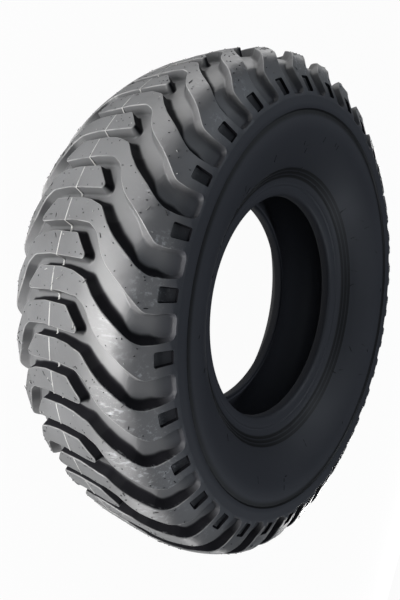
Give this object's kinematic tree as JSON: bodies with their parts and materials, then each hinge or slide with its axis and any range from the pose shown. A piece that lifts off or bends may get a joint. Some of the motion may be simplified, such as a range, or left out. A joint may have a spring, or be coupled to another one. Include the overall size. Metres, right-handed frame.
{
  "type": "flotation tyre",
  "caption": "Low-pressure flotation tyre for an implement wheel: sweeping interlocking lugs, rounded shoulders with recessed lug ends, dished sidewalls and bead seats round an open cavity.",
  "frame": {"origin": "middle of the tyre, on the spin axis and in the middle plane of the tread", "axes": "+Z is the spin axis; the tyre lies on its lower sidewall, with the sidewall that the picture shows on top"},
  "size_m": [0.845, 0.844, 0.276],
  "materials": {
    "tyre_rubber": "dark moulded rubber with a slight sheen on the lug tops"
  },
  "bodies": {
    "root": {"tyre": "tyre_rubber"}
  },
  "joints": []
}
